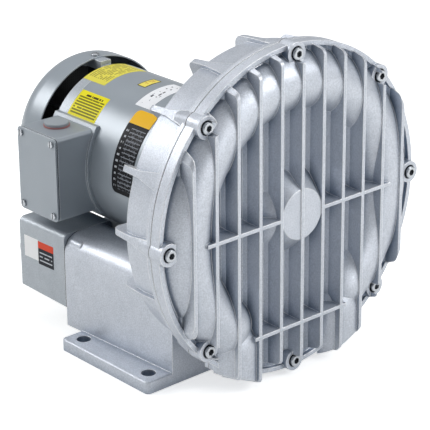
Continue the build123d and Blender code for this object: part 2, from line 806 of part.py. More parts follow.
# ---------------------------------------------------------------- bearings and seal
def bearing(name, bore, outer, width, y):
    """A deep groove ball bearing: two races, a cage and its balls, each with running clearance."""
    pitch = (bore + outer) / 2
    ball_radius = (outer - bore) * 0.295
    middle = y + width / 2
    groove = Pos(0, middle, axis_height) * Rot(90, 0, 0) * Torus(pitch, ball_radius + fit_gap)
    inner = ring(bore + fit_gap, bore + race_thickness, y, y + width) - groove
    outer_race = ring(outer - race_thickness, outer - fit_gap, y, y + width) - groove
    balls = [rearward(pitch, angle, middle) * Sphere(ball_radius) for angle in angles(ball_count)]
    cage = ring(pitch - 1.3, pitch + 1.3, middle - width * 0.32, middle + width * 0.32)
    for angle in angles(ball_count):
        c, s = cos(radians(angle)), sin(radians(angle))
        pocket = Plane(origin=(pitch * c, middle, axis_height + pitch * s), z_dir=(c, 0, s))
        cage -= pocket * Cylinder(ball_radius + fit_gap, 8)
    save(name + "_inner_race", inner)
    save(name + "_outer_race", outer_race)
    save(name + "_balls", *balls)
    save(name + "_cage", cage)


def shaft_seal():
    y0 = land_y + 1
    y1 = y0 + seal_width
    case = ring(shaft_seat_radius + 4, seal_outer_radius, y0, y1)
    return case + ring(shaft_seat_radius + fit_gap, shaft_seat_radius + 5, y0 + 2, y0 + 4)


# ---------------------------------------------------------------- motor
def motor_shell():
    shell = ring(shell_radius - shell_wall, shell_radius, shell_front_y, shell_rear_y)
    opening = Pos(-shell_radius, box_middle_y, box_back_z) * Rot(0, 90, 0) * Cylinder(
        wire_hole_radius, 30
    )
    return shell - opening


def drive_endbell():
    plate_y = drum_rear_y + endbell_plate
    bell = turned(
        (shaft_seat_radius + 1.5, drum_rear_y - pilot_height), (pilot_radius, drum_rear_y - pilot_height),
        (pilot_radius, drum_rear_y), (shell_radius, drum_rear_y), (shell_radius, shell_front_y),
        (spigot_radius, shell_front_y), (spigot_radius, shell_front_y + spigot_length),
        (spigot_inner_radius, shell_front_y + spigot_length), (spigot_inner_radius, plate_y),
        (drive_bearing_outer + 6, plate_y),
        (drive_bearing_outer + 6, drive_bearing_y + drive_bearing_width),
        (drive_bearing_outer, drive_bearing_y + drive_bearing_width),
        (drive_bearing_outer, drive_bearing_y),
        (shaft_seat_radius + 1.5, drive_bearing_y)
    )
    for angle in angles(4, 45):
        bell -= rearward(face_bolt_circle, angle, drum_rear_y) * Cylinder(
            face_bolt_radius + fit_gap, 15, align=BASE
        )
    for angle in angles(4, through_bolt_phase):
        bell -= polar(through_bolt_circle, angle, shell_front_y + spigot_length) * Cylinder(
            through_bolt_radius + fit_gap, 14, align=BASE
        )
    return bell


def fan_endbell():
    plate_y = endbell_rear_y - 8
    hub = tail_bearing_outer + 6
    bell = turned(
        (shaft_tail_radius + 1, endbell_rear_y), (shell_radius, endbell_rear_y),
        (shell_radius, shell_rear_y),
        (spigot_radius, shell_rear_y), (spigot_radius, shell_rear_y - spigot_length),
        (spigot_inner_radius, shell_rear_y - spigot_length), (spigot_inner_radius, plate_y),
        (hub, plate_y),
        (hub, tail_bearing_y), (tail_bearing_outer, tail_bearing_y),
        (tail_bearing_outer, tail_bearing_y + tail_bearing_width),
        (shaft_tail_radius + 1, tail_bearing_y + tail_bearing_width)
    )
    lug_outer = fan_cover_radius - fan_cover_wall - fit_gap
    lug_end = fan_cover_front_y + 12
    lugs = Part()
    for angle in angles(lug_count, 90):
        size = (lug_outer + 2 - fan_radius - 3, lug_width, lug_end - shell_rear_y - 2)
        lugs += rearward(fan_radius + 3, angle, shell_rear_y + 2) * Box(
            *size, align=(Align.MIN, Align.CENTER, Align.MIN)
        )
    lug_room = ring(0, shell_radius, shell_rear_y, lug_end) + ring(
        0, lug_outer, endbell_rear_y + 2, lug_end
    )
    bell += lugs & lug_room
    for angle in angles(lug_count, 90):
        bell -= lug_hole(angle, lug_screw_radius + fit_gap, 9)
    for angle in angles(4, through_bolt_phase):
        bell -= polar(through_bolt_circle, angle, endbell_rear_y + 1) * Cylinder(
            through_bolt_radius + fit_gap, 40, align=BASE
        )
    return bell


def lug_plane(angle):
    """The screw seat on the fan cover over a lug, facing away from the shaft."""
    c, s = cos(radians(angle)), sin(radians(angle))
    y = fan_cover_front_y + 6.5
    return Plane(
        origin=(fan_cover_radius * c, y, axis_height + fan_cover_radius * s), x_dir=(0, 1, 0), z_dir=(
            c, 0, s
        )
    )


def lug_hole(angle, radius, depth):
    return lug_plane(angle) * Cylinder(radius, 2 * depth)


def through_bolts():
    shank_end = shell_front_y - 5
    bolt = cap_screw(through_bolt_radius, endbell_rear_y - shank_end, 4.5, 5.0)
    return [rearward(through_bolt_circle, angle, endbell_rear_y) * bolt for angle in angles(4,
    through_bolt_phase)]


def motor_face_bolts():
    seat_y = land_y + face_bolt_head_height + 0.8
    bolt = cap_screw(
        face_bolt_radius, face_bolt_length - face_bolt_head_height, face_bolt_head_radius,
        face_bolt_head_height
    )
    return [polar(face_bolt_circle, angle, seat_y) * bolt for angle in angles(4, 45)]


def stator_core():
    core = ring(core_bore_radius, core_radius, core_front_y, core_rear_y)
    for angle in angles(4, through_bolt_phase):
        core -= polar(through_bolt_circle, angle, core_rear_y + 1) * Cylinder(
            through_bolt_radius + 1.1, core_length + 2, align=BASE
        )
    return core


def stator_windings():
    coils = []
    ends = ((core_front_y - winding_length, core_front_y), (core_rear_y, core_rear_y + winding_length))
    for y0, y1 in ends:
        coil = ring(winding_inner_radius, winding_outer_radius, y0, y1)
        coils.append(fillet(coil.edges(), 3.5))
    return coils


def fan_cover():
    r, wall, round_r = fan_cover_radius, fan_cover_wall, fan_cover_round
    y0, y1 = fan_cover_front_y, fan_cover_rear_y
    edges = [
        Line((r, y0), (r, y1 - round_r)),
        TangentArc((r, y1 - round_r), (r - round_r, y1), tangent=(0, 1)),
        Line((r - round_r, y1), (0, y1)),
        Line((0, y1), (0, y1 - wall)),
        Line((0, y1 - wall), (r - round_r, y1 - wall)),
        TangentArc((r - round_r, y1 - wall), (r - wall, y1 - round_r), tangent=(1, 0)),
        Line((r - wall, y1 - round_r), (r - wall, y0)),
        Line((r - wall, y0), (r, y0)),
    ]
    cover = spin(edges)
    inner, middle, outer = grille_ring_radii
    for count, low, high in ((10, inner, middle - 4), (20, middle, outer)):
        slot = Box(high - low, grille_slot_width, 4 * wall, align=(Align.MIN, Align.CENTER, Align.CENTER))
        for angle in angles(count):
            cover -= rearward(low, angle, y1) * slot
    for angle in angles(lug_count, 90):
        cover -= lug_hole(angle, lug_screw_radius + fit_gap, 4)
    return cover


def fan_cover_screws():
    screw = pan_screw(lug_screw_radius, 8.0, 4.6, 2.6)
    return [lug_plane(angle) * screw for angle in angles(lug_count, 90)]


def cooling_fan():
    y0 = fan_front_y
    fan = ring(shaft_tail_radius + fit_gap, fan_hub_radius, y0, y0 + fan_blade_width)
    fan += ring(shaft_tail_radius + fit_gap, fan_radius - 14, y0, y0 + fan_disc_thickness)
    reach = fan_radius - fan_hub_radius + 3
    blade = Box(reach, 2.4, fan_blade_width, align=(Align.MIN, Align.CENTER, Align.MIN))
    for angle in angles(fan_blade_count, 90):
        fan += rearward(fan_hub_radius - 3, angle, y0) * blade
    return fan


# ---------------------------------------------------------------- junction box
def box_prism(inset, x_near, x_far):
    """The box outline, inset, between two distances from the shaft plane on the -X side."""
    outline = Rectangle(box_length - 2 * inset, box_height - 2 * inset)
    outline = fillet(outline.vertices(), max(box_corner_radius - inset, 1.0))
    plane = Plane(origin=(-x_near, box_middle_y, box_back_z), x_dir=(0, 1, 0), z_dir=(-1, 0, 0))
    return extrude(plane * outline, x_far - x_near)


def saddle_zone(margin):
    span = box_height / 2 + margin
    return block(
        -box_face_x, 0, box_front_y - margin, box_front_y + box_length + margin, box_back_z - span,
        box_back_z + span
    )


def plug_place(y_lift):
    return Pos(-box_outer_x + plug_inset, box_middle_y + 4, box_back_z + box_height / 2 + y_lift)


def junction_box():
    y0, y1 = box_front_y - 10, box_front_y + box_length + 10
    flange_inner = shell_radius + fit_gap
    flange_outer = flange_inner + box_saddle_thickness
    box = box_prism(0, 30, box_face_x) - box_prism(box_wall, 20, box_face_x + 1)
    box += ring(0, flange_outer, y0, y1) & saddle_zone(box_saddle_margin)
    for y, z in box_screw_places():
        box += Pos(-box_face_x, y, z) * Rot(0, 90, 0) * Cylinder(4.0, 14, align=BASE)
        box -= Pos(-box_face_x - 1, y, z) * Rot(0, 90, 0) * Cylinder(
            box_screw_radius + fit_gap, 12, align=BASE
        )
    box -= ring(0, flange_inner, y0 - 1, y1 + 1)
    box -= Pos(-shell_radius, box_middle_y, box_back_z) * Rot(0, 90, 0) * Cylinder(wire_hole_radius, 30)
    box -= plug_place(0) * Cylinder(plug_radius + fit_gap, 4 * box_wall)
    return box


def box_screw_places():
    dy = box_length / 2 - box_screw_inset
    dz = box_height / 2 - box_screw_inset
    return [(box_middle_y + sy * dy, box_back_z + sz * dz) for sy in (-1, 1) for sz in (-1, 1)]


def box_gasket():
    gasket = box_prism(0.4, box_face_x, box_plate_x) - box_prism(
        box_wall, box_face_x - 1, box_plate_x + 1
    )
    for y, z in box_screw_places():
        gasket += Pos(-box_plate_x, y, z) * Rot(0, 90, 0) * Cylinder(
            4.0, box_gasket_thickness, align=BASE
        )
        gasket -= Pos(-box_plate_x - 1, y, z) * Rot(0, 90, 0) * Cylinder(
            box_screw_radius + fit_gap, 6, align=BASE
        )
    return gasket


def box_cover():
    cover = box_prism(0, box_plate_x, box_outer_x)
    for y, z in box_screw_places():
        cover -= Pos(-box_outer_x, y, z) * Rot(0, 90, 0) * Cylinder(box_screw_radius + fit_gap, 20)
    return cover


def box_screws():
    screw = pan_screw(box_screw_radius, 12.0, 3.9, 2.4)
    return [Pos(-box_outer_x, y, z) * Rot(0, -90, 0) * screw for y, z in box_screw_places()]


def conduit_plug():
    plug = Cylinder(plug_head_radius, 3.2, align=BASE)
    plug = fillet(plug.edges().group_by(Axis.Z)[-1], 1.4)
    plug += Cylinder(plug_radius, box_wall + 3, align=TOP)
    plug -= Pos(0, 0, -plug_seal_thickness) * Cylinder(plug_radius - 2, box_wall + 8, align=TOP)
    return plug_place(plug_seal_thickness) * plug


def plug_seal():
    seal = Cylinder(plug_head_radius + 0.8, plug_seal_thickness, align=BASE)
    return plug_place(0) * (seal - Cylinder(plug_radius + fit_gap, 9))


# ---------------------------------------------------------------- data plate
def wedge_zone(start, end, y0, y1):
    """A slice of pie about the shaft from one angle to another."""
    reach = 2 * shell_radius
    middle = (start + end) / 2
    corners = [(reach * cos(radians(a)), reach * sin(radians(a))) for a in (start, middle, end)]
    face = make_face(Polyline((0, 0), *corners, close=True).edges())
    return prism(Pos(0, axis_height) * face, y0, y1)


def data_plate():
    inner = shell_radius + fit_gap
    y1 = plate_front_y + plate_length
    return ring(inner, inner + plate_thickness, plate_front_y, y1) & wedge_zone(
        plate_start_angle, plate_end_angle, plate_front_y, y1
    )


if __name__ == "__main__":
    save("front_cover", front_cover())
    save("cover_gasket", cover_gasket())
    save("cover_screws", *cover_screws())
    save("cover_lock_washers", *cover_washers())
    save("rear_housing", rear_housing())
    save("end_cap", end_cap())
    save("end_cap_gasket", end_cap_gasket())
    save("end_cap_screws", *end_cap_screws())
    save("inlet_foam", muffler_foam(-1))
    save("outlet_foam", muffler_foam(1))
    save("impeller", impeller())
    save("impeller_key", keyway(0))
    save("impeller_bolt", impeller_bolt())
    save("impeller_washer", impeller_washer())
    save("rotor_shaft", rotor_shaft())
    save("rotor_core", rotor_core())
    save("shaft_seal", shaft_seal())
    bearing("drive_bearing", shaft_seat_radius, drive_bearing_outer, drive_bearing_width, drive_bearing_y)
    bearing(
        "tail_bearing", shaft_tail_seat_radius, tail_bearing_outer, tail_bearing_width, tail_bearing_y
    )
    save("stator_core", stator_core())
    save("stator_windings", *stator_windings())
    save("motor_shell", motor_shell())
    save("drive_endbell", drive_endbell())
    save("fan_endbell", fan_endbell())
    save("through_bolts", *through_bolts())
    save("motor_face_bolts", *motor_face_bolts())
    save("cooling_fan", cooling_fan())
    save("fan_cover", fan_cover())
    save("fan_cover_screws", *fan_cover_screws())
    save("junction_box", junction_box())
    save("junction_box_gasket", box_gasket())
    save("junction_box_cover", box_cover())
    save("junction_box_screws", *box_screws())
    save("conduit_plug", conduit_plug())
    save("plug_seal", plug_seal())
    save("data_plate", data_plate())
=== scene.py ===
# %% [markdown]
# # Side channel blower
# The castings, the motor and everything that turns come ready made as solids in one fixed frame, in metres.
# This lesson gives them their finishes, adds the labels that are stuck on the motor and the end cap, and
# lights the whole as a product on a pale sweep. Nothing from the frame is moved: a piece that is added
# takes its place from the node that carries it.

# %% Load the frame
import bmesh
import bpy
from math import cos, pi, radians, sin
from mathutils import Matrix, Vector


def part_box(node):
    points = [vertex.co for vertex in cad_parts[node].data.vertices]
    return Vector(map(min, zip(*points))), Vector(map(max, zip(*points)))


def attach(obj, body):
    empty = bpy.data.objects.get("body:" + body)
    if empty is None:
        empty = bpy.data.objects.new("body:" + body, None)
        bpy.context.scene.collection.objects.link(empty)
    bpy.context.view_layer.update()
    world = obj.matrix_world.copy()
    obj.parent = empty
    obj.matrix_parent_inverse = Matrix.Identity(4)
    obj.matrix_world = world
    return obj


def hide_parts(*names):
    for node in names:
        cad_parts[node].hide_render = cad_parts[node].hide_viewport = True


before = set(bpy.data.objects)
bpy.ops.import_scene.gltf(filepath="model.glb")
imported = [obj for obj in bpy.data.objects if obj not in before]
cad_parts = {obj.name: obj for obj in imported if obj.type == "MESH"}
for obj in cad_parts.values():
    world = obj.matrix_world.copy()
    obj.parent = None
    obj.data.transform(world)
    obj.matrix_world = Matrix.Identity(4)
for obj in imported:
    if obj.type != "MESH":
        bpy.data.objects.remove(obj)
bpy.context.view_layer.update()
MM = 0.001

# %% [markdown]
# ## Places taken from the frame
# The motor shell is a tube about the shaft, so its box gives the height of the shaft and the shell's
# radius. Labels are measured along the shaft and by their angle round it, 0 towards +X and 90 straight up.

# %% Shaft and shell
shell_low, shell_high = (Vector(corner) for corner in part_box("motor_shell"))
shaft_height = (shell_low.z + shell_high.z) / 2
shell_radius = (shell_high.z - shell_low.z) / 2
print("shaft height", shaft_height, "shell radius", shell_radius)

# %% [markdown]
# ## Colour and node helpers
# Paint colours are written as sRGB hex values, as a paint chart gives them, and one function turns them to
# the linear values that a shader works with. One more function adds a node, sets it up and links it. Some
# nodes have several inputs of one name, such as the two numbers of a Math node: those go by their number,
# _0 for the first. In a Mix node the two colours are _6 and _7, and the mixed colour is output 2.


# %% Helpers for colour and nodes
def linear(hex_value):
    channels = [int(hex_value[i:i + 2], 16) / 255 for i in (1, 3, 5)]
    return [c / 12.92 if c <= 0.04045 else ((c + 0.055) / 1.055) ** 2.4 for c in channels] + [1.0]


def add(tree, kind, settings=None, **links):
    """Adds a node. A setting names a property; a link gives an input another node's output or a value."""
    node = tree.nodes.new(kind)
    for name, value in (settings or {}).items():
        setattr(node, name, value)
    for name, value in links.items():
        key = int(name[1:]) if name[0] == "_" and name[1:].isdigit() else name.replace("_", " ")
        socket = node.inputs[key]
        if isinstance(value, bpy.types.NodeSocket):
            tree.links.new(value, socket)
        else:
            socket.default_value = value
    return node


def new_material(name):
    """An empty material with its shader and output, and the place on the object as a coordinate."""
    material = bpy.data.materials.new(name)
    material.use_nodes = True
    tree = material.node_tree
    tree.nodes.clear()
    surface = add(tree, "ShaderNodeBsdfPrincipled")
    add(tree, "ShaderNodeOutputMaterial", Surface=surface.outputs["BSDF"])
    place = add(tree, "ShaderNodeTexCoord").outputs["Object"]
    return material, tree, surface, place


def dress(material, *names):
    """Gives nodes of the frame a material, keeping their meshes and slots."""
    for name in names:
        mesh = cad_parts[name].data
        if not mesh.materials:
            mesh.materials.append(material)
        for index in range(len(mesh.materials)):
            mesh.materials[index] = material


# %% [markdown]
# ## Camera
# A long lens from the cover side, a little above the fins, so that the round cover stays nearly round. The
# angles are a compass bearing, a downward tilt and a small roll. The lens could be tuned by eye, but it is
# worked out here from the distance to the picture plane in pixels.

# %% Camera
IMAGE_WIDTH = 430.0
FOCAL_PIXELS = 1947.8
SENSOR_MM = 36.0
bearing, tilt, roll = radians(41.307), radians(22.146), radians(-0.472)
eye = Vector((-1270.4, -1460.5, 926.3)) * MM
ahead = Vector((sin(bearing) * cos(tilt), cos(bearing) * cos(tilt), -sin(tilt)))
level_right = ahead.cross(Vector((0, 0, 1))).normalized()
level_up = level_right.cross(ahead)
right = cos(roll) * level_right + sin(roll) * level_up
up = cos(roll) * level_up - sin(roll) * level_right
camera_data = bpy.data.cameras.new("camera")
camera_data.sensor_width = SENSOR_MM
camera_data.lens = FOCAL_PIXELS / IMAGE_WIDTH * SENSOR_MM
camera = bpy.data.objects.new("camera", camera_data)
bpy.context.collection.objects.link(camera)
turn = Matrix((right, up, -ahead)).transposed()
camera.matrix_world = Matrix.Translation(eye) @ turn.to_4x4()
bpy.context.scene.camera = camera
print("lens", round(camera_data.lens, 1), "mm")

# %% [markdown]
# ## Floor
# A product of this kind stands on a white paper sweep. Lamps bright enough to turn the paper white would
# bleach the paint, so the paper glows a little instead, but only for rays from the camera and, at half
# strength, for reflections. Nothing is lit by that glow, and the shadow stays. The Standard view transform
# keeps a colour about as it is written.

# %% View transform and floor
SWEEP_GLOW = 0.6
SWEEP_IN_GLOSS = 0.5
FLOOR_HALF_SIZE = 12
bpy.context.scene.view_settings.view_transform = "Standard"
floor_mesh = bpy.data.meshes.new("floor")
bm = bmesh.new()
bmesh.ops.create_grid(bm, x_segments=1, y_segments=1, size=FLOOR_HALF_SIZE)
bm.to_mesh(floor_mesh)
bm.free()
floor = bpy.data.objects.new("floor", floor_mesh)
bpy.context.collection.objects.link(floor)
# Uncoated paper: quite matt, so that it shows a soft shadow and no mirror image.
paper, tree, surface, _ = new_material("white_paper_sweep")
rays = add(tree, "ShaderNodeLightPath")
seen = add(tree, "ShaderNodeMath", {"operation": "MULTIPLY_ADD"}, _0=rays.outputs["Is Glossy Ray"],
           _1=SWEEP_IN_GLOSS, _2=rays.outputs["Is Camera Ray"])
glow = add(tree, "ShaderNodeMath", {"operation": "MULTIPLY"}, _0=seen.outputs[0], _1=SWEEP_GLOW)
tree.links.new(glow.outputs[0], surface.inputs["Emission Strength"])
surface.inputs["Base Color"].default_value = linear("#F2F2F0")
surface.inputs["Emission Color"].default_value = linear("#FFFFFF")
surface.inputs["Roughness"].default_value = 0.9
floor_mesh.materials.append(paper)
print("floor", floor.name)

# %% [markdown]
# ## Room
# Round the sweep is a dim, slightly blue room, which fills the shade between the fins. The camera sees
# plain white in its place, and so does what shines through a clear piece. A quarter of that white also goes
# into reflections, so that screw heads don't mirror a dark room. A picture of a real studio could stand
# here, but two plain colours keep the paint's own hue.

# %% World
ROOM_STRENGTH = 0.2
WHITE_IN_GLOSS = 0.25
world = bpy.data.worlds.new("studio")
bpy.context.scene.world = world
world.use_nodes = True
tree = world.node_tree
tree.nodes.clear()
rays = add(tree, "ShaderNodeLightPath")
clear = add(tree, "ShaderNodeMath", {"operation": "MAXIMUM"}, _0=rays.outputs["Is Camera Ray"],
            _1=rays.outputs["Is Transmission Ray"])
seen = add(tree, "ShaderNodeMath", {"operation": "MULTIPLY_ADD"}, _0=rays.outputs["Is Glossy Ray"],
           _1=WHITE_IN_GLOSS, _2=clear.outputs[0])
room = add(tree, "ShaderNodeBackground", Color=linear("#DCE4EE"), Strength=ROOM_STRENGTH)
white = add(tree, "ShaderNodeBackground", Color=linear("#FFFFFF"), Strength=1.0)
blend = add(tree, "ShaderNodeMixShader", _0=seen.outputs[0], _1=room.outputs[0], _2=white.outputs[0])
add(tree, "ShaderNodeOutputWorld", Surface=blend.outputs[0])
print("world", world.name)

# %% [markdown]
# ## Soft boxes
# The key hangs in front, to the right and high, so the round channel cover is bright on top, the sides of
# the cooling fins that turn away from it fall into shade, and each fin tip stands out as a thin bright
# line. A second box behind and to the left puts the long highlight on the motor shell and lights the end
# cap. Weak fills on the left and low in front keep the base and the bottom of the cover from going dark.
# Point lamps would do with less setting up, but their shadows are hard, and boxes about three times as wide
# as the object give soft ones.


# %% Soft boxes
def soft_box(name, place, target, width, height, watts):
    data = bpy.data.lights.new(name, "AREA")
    data.shape = "RECTANGLE"
    data.size, data.size_y, data.energy = width, height, watts
    lamp = bpy.data.objects.new(name, data)
    aim = (Vector(target) - Vector(place)).to_track_quat("-Z", "Y")
    lamp.matrix_world = Matrix.Translation(place) @ aim.to_matrix().to_4x4()
    bpy.context.collection.objects.link(lamp)
    print("soft box", name, watts, "W")


middle, low_middle = (0, 0, shaft_height), (0, 0, 0.09)
soft_box("front_key", (1.1, -1.9, 1.5), middle, width=1.3, height=1.3, watts=32)
soft_box("rear_left_box", (-1.45, 2.1, 1.75), middle, width=1.2, height=1.2, watts=33)
soft_box("left_fill", (-2.4, 0.9, 0.5), middle, width=1.4, height=1.0, watts=9)
soft_box("low_front_fill", (0.5, -2.2, 0.3), low_middle, width=1.4, height=0.6, watts=6)
soft_box("top_light", (0.3, 0.5, 2.2), middle, width=1.6, height=1.6, watts=20)

# %% [markdown]
# ## What every finish needs
# Real edges are never sharp. They could be bevelled in the mesh, with many more faces. A bevel in the
# shader only bends the normal near an edge, and the angle between that normal and the face's own also tells
# where an edge is, for a painted highlight there. Grain, peel and tool marks are noises of a real size in
# millimetres, and the same noise drives the bump. Deep corners get painted shade, a colour darker than
# light alone makes them: the ambient occlusion node finds them within a given reach.

# %% Edges, texture and corners
FLAT_COSINE, EDGE_COSINE = 0.992, 0.86
NOISE_ROUGHNESS = 0.6


def edges(tree, radius_mm):
    """A normal rounded along edges, and a value that goes from 0 on flats to 1 along edges, for a painted
    highlight.
    """
    normal = add(tree, "ShaderNodeBevel", {"samples": 4}, Radius=radius_mm * MM).outputs["Normal"]
    own = add(tree, "ShaderNodeNewGeometry").outputs["Normal"]
    cosine = add(tree, "ShaderNodeVectorMath", {"operation": "DOT_PRODUCT"}, _0=own, _1=normal)
    edge_highlight = add(tree, "ShaderNodeMapRange", Value=cosine.outputs["Value"], From_Min=FLAT_COSINE,
               From_Max=EDGE_COSINE, To_Min=0.0, To_Max=1.0)
    return normal, edge_highlight.outputs["Result"]


def texture(tree, place, size_mm, detail, strength, depth_mm, **normal):
    """A noise of a real size, and the normal that it gives as a bump of a real depth."""
    noise = add(tree, "ShaderNodeTexNoise", Vector=place, Scale=1 / (size_mm * MM), Detail=detail,
                Roughness=NOISE_ROUGHNESS).outputs["Fac"]
    bump = add(tree, "ShaderNodeBump", Strength=strength, Distance=depth_mm * MM, Height=noise, **normal)
    return noise, bump.outputs["Normal"]


def painted_corner_shade(tree, reach_mm, deep, clear):
    """Painted shade in corners: 1 where the openness within reach is down to deep, and 0 where it is up to
    clear.
    """
    openness = add(tree, "ShaderNodeAmbientOcclusion", {"samples": 4}, Distance=reach_mm * MM).outputs["AO"]
    return add(tree, "ShaderNodeMapRange", Value=openness, From_Min=deep, From_Max=clear, To_Min=1.0,
               To_Max=0.0).outputs["Result"]


# %% [markdown]
# ## Silver paint on fine-grained castings
# The cover and the drum housing are sand cast aluminium with a thin silver enamel. A grain of foundry sand
# is under half a millimetre and would be lost between pixels; what shows is its clumps, a little over one
# millimetre, which the paint softens but doesn't hide. The surface glitters a little where light grazes it.
# Two noises make it: one for the clumps and a wider, weaker one for the uneven skin of the casting. A
# picture of such a surface would repeat over so large a cover and tear at its fins, which a noise in space
# doesn't. The enamel carries fine aluminium flakes, so it is partly metallic: the whole surface brightens
# towards a lamp instead of showing one small highlight.

# %% Paint on castings
SKIN_MM = 14
EDGE_RADIUS_MM = 1.2
CORNER_SHADE_REACH_MM = 20
CORNER_SHADE_GREY = "#A2AFBE"
SPECK_DARK, SPECK_PALE = 0.83, 1.09
GRAIN_LOW, GRAIN_HIGH = 0.35, 0.7
ROUGHNESS_SWING = 0.08


def casting_paint(name, body, shade, edge_highlight, roughness, flake, grain_mm, grain_depth_mm):
    material, tree, surface, place = new_material(name)
    normal, edge_highlight_mask = edges(tree, EDGE_RADIUS_MM)
    grain, bumped = texture(tree, place, size_mm=grain_mm, detail=3, strength=0.6, depth_mm=grain_depth_mm,
                            Normal=normal)
    skin = add(tree, "ShaderNodeTexNoise", Vector=place, Scale=1 / (SKIN_MM * MM), Detail=2,
               Roughness=NOISE_ROUGHNESS)
    tone = add(tree, "ShaderNodeMix", {"data_type": "RGBA"}, Factor=skin.outputs["Fac"], _6=linear(shade),
               _7=linear(body))
    speck = add(tree, "ShaderNodeMapRange", Value=grain, From_Min=GRAIN_LOW, From_Max=GRAIN_HIGH,
                To_Min=SPECK_DARK, To_Max=SPECK_PALE)
    grained = add(tree, "ShaderNodeVectorMath", {"operation": "SCALE"}, _0=tone.outputs[2],
                  _3=speck.outputs["Result"])
    # Painted shade: corners within reach are multiplied by a blue grey.
    corner_shaded = add(tree, "ShaderNodeMix", {"data_type": "RGBA", "blend_type": "MULTIPLY"},
                   Factor=painted_corner_shade(tree, CORNER_SHADE_REACH_MM, deep=0.25, clear=0.8),
                   _6=grained.outputs["Vector"], _7=linear(CORNER_SHADE_GREY))
    # Painted highlight: a paler colour along the edges.
    edge_highlighted = add(tree, "ShaderNodeMix", {"data_type": "RGBA"}, Factor=edge_highlight_mask, _6=corner_shaded.outputs[2],
                _7=linear(edge_highlight))
    gloss = add(tree, "ShaderNodeMapRange", Value=grain, From_Min=GRAIN_LOW, From_Max=GRAIN_HIGH,
                To_Min=roughness + ROUGHNESS_SWING, To_Max=roughness - ROUGHNESS_SWING)
    tree.links.new(edge_highlighted.outputs[2], surface.inputs["Base Color"])
    tree.links.new(gloss.outputs["Result"], surface.inputs["Roughness"])
    tree.links.new(bumped, surface.inputs["Normal"])
    surface.inputs["Metallic"].default_value = flake
    surface.inputs["IOR"].default_value = 1.5
    print("casting paint", name)
    return material


# %% Castings
# A pale, cool silver that sparkles faintly where the sand grain turns to the light; white edges are painted
# highlight.
dress(casting_paint("silver_enamel_on_sand_casting", body="#D4D8E0", shade="#C1C7D0", edge_highlight="#FFFFFF",
                    roughness=0.4, flake=0.5, grain_mm=1.4, grain_depth_mm=0.24),
      "front_cover", "rear_housing")
# A flatter grey with less flake over a finer casting, close to the sheet steel beside it.
# Its edge colour is a painted highlight.
dress(casting_paint("grey_enamel_on_casting", body="#BEC4CA", shade="#ABB2B9", edge_highlight="#F2F5F7",
                    roughness=0.42, flake=0.35, grain_mm=1.0, grain_depth_mm=0.12),
      "end_cap", "drive_endbell", "fan_endbell")

# %% [markdown]
# ## Smooth grey enamel
# The motor shell, fan cover and junction box are rolled or pressed steel with an air-dried machine enamel.
# It is smooth with a faint orange peel and a soft gloss, and a painted highlight makes it a little lighter
# where it wraps an edge. A clear coat in the shader gives the long soft highlight along the shell, over a
# body that scatters more.


# %% Enamel on sheet steel
def sheet_enamel(name, body, shade, edge_highlight, roughness, peel_mm, drift_mm):
    material, tree, surface, place = new_material(name)
    normal, edge_highlight_mask = edges(tree, radius_mm=0.9)
    _, peeled = texture(tree, place, size_mm=peel_mm, detail=2, strength=0.25, depth_mm=0.05, Normal=normal)
    drift = add(tree, "ShaderNodeTexNoise", Vector=place, Scale=1 / (drift_mm * MM), Detail=1,
                Roughness=NOISE_ROUGHNESS)
    tone = add(tree, "ShaderNodeMix", {"data_type": "RGBA"}, Factor=drift.outputs["Fac"], _6=linear(shade),
               _7=linear(body))
    # Painted highlight: a paler colour along the edges.
    edge_highlighted = add(tree, "ShaderNodeMix", {"data_type": "RGBA"}, Factor=edge_highlight_mask, _6=tone.outputs[2],
                _7=linear(edge_highlight))
    tree.links.new(edge_highlighted.outputs[2], surface.inputs["Base Color"])
    tree.links.new(peeled, surface.inputs["Normal"])
    surface.inputs["Roughness"].default_value = roughness
    surface.inputs["Metallic"].default_value = 0.2
    surface.inputs["IOR"].default_value = 1.5
    surface.inputs["Coat Weight"].default_value = 0.25
    surface.inputs["Coat Roughness"].default_value = 0.2
    print("sheet enamel", name)
    return material


# A middle grey with a broad soft shine, quieter than the castings; its edge colour is a painted highlight.
dress(sheet_enamel("grey_machine_enamel", body="#A3ABB2", shade="#979FA7", edge_highlight="#E6EBEF", roughness=0.34,
                   peel_mm=2.2, drift_mm=40),
      "motor_shell", "fan_cover", "junction_box", "junction_box_cover")

# %% [markdown]
# ## Bare metals
# Screws and washers are zinc plated steel, the shaft and races are ground steel and the impeller is a bare
# casting. A metal keeps the default index of refraction; what tells them apart is the roughness and the
# marks of how each was made. Those marks are mostly finer than 0.1 mm, and are drawn at 0.5 to 1.2 mm so
# that they show. Within 5 mm of a corner a metal gets painted shade, a darker colour that draws the
# sockets and the seats of the screws.

# %% Metals
METAL_SHADE_REACH_MM = 5
CORNER_SHADE_DARKNESS = 0.2
SMOOTHER, ROUGHER = 0.06, 0.1


